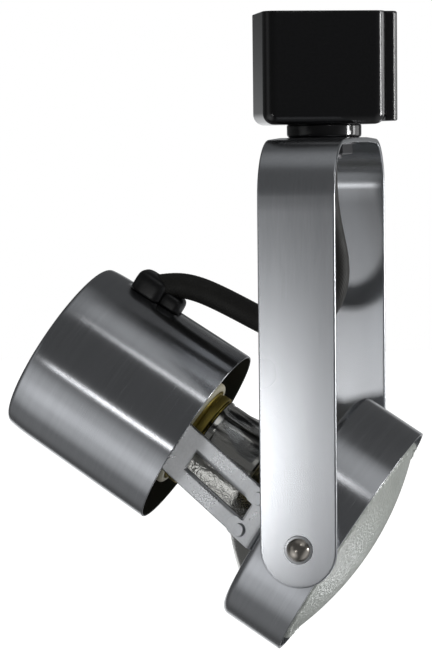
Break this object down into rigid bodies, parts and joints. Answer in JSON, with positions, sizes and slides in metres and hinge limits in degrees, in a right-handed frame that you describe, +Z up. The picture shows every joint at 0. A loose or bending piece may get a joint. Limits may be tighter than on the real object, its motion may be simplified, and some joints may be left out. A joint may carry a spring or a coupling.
{
  "type": "track spotlight",
  "caption": "Gimbal-ring track spotlight: black track adapter, brushed strap yoke, spun ring and rear can round a reflector lamp, with a looped woven cord.",
  "frame": {"origin": "centre of the adapter's top face, where it meets the underside of the track", "axes": "+X along the track, towards the adapter's latch end; +Y across the track; +Z up into the track. The head hangs in -Z, swivelled 20.9 degrees clockwise seen from above and tilted 32.9 degrees below level"},
  "size_m": [0.1691, 0.1368, 0.2574],
  "materials": {
    "gloss_black": "gloss",
    "insulator_grey": "matt",
    "contact_brass": "satin",
    "zinc_steel": "bright zinc",
    "strap_steel": "long brushed grain, clear lacquer",
    "spun_aluminium": "spun brushed grain",
    "polished_nickel": "polished",
    "satin_paint": "satin silver",
    "mirrored_glass": "silvered pressed glass",
    "lens_glass": "stippled",
    "quartz": "clear",
    "cap_brass": "satin",
    "black_glass": "gloss",
    "porcelain": "unglazed cream",
    "woven_sleeve": "braided",
    "black_nylon": "semi-gloss"
  },
  "bodies": {
    "adapter": {"adapter_housing": "gloss_black", "contact_carrier": "insulator_grey", "line_contact": "contact_brass", "ground_contact": "contact_brass", "neutral_contact": "contact_brass", "carrier_screws": "zinc_steel", "latch_spring": "zinc_steel", "swivel_stem": "zinc_steel", "swivel_collar": "gloss_black", "friction_washer": "zinc_steel", "stem_nut": "zinc_steel"},
    "latch": {"release_latch": "gloss_black"},
    "yoke": {"yoke": "strap_steel", "power_cord": "woven_sleeve"},
    "lamp_head": {"pivot_screws": "polished_nickel", "pivot_washers": "zinc_steel", "pivot_spacers": "zinc_steel", "pivot_nuts": "zinc_steel", "lamp_ring": "spun_aluminium", "lamp_bowl": "mirrored_glass", "lamp_lens": "lens_glass", "lamp_capsule": "quartz", "lamp_skirt": "cap_brass", "lamp_cap": "cap_brass", "cap_insulator": "black_glass", "cap_contact": "contact_brass", "lampholder": "porcelain", "holder_sleeve": "contact_brass", "holder_tongue": "contact_brass", "lamp_cage": "satin_paint", "cage_feet": "satin_paint", "cage_rivets": "zinc_steel", "holder_screws": "zinc_steel", "rear_can": "spun_aluminium", "can_posts": "zinc_steel", "can_screws": "zinc_steel", "strain_relief": "black_nylon"}
  },
  "joints": [
    {"name": "head_swivel", "type": "hinge", "parent": "adapter", "child": "yoke", "pos_m": [0, 0, -0.0498], "axis": [0, 0, 1], "range_deg": [-175, 175]},
    {"name": "head_tilt", "type": "hinge", "parent": "yoke", "child": "lamp_head", "pos_m": [0, 0, -0.207], "axis": [0.3567, 0.9342, 0], "range_deg": [-33, 37], "deforming": ["power_cord"]},
    {"name": "latch_release", "type": "slide", "parent": "adapter", "child": "latch", "axis": [0, 0, -1], "range_m": [0, 0.003], "stiffness_N_per_m": 300, "deforming": ["latch_spring"]}
  ]
}
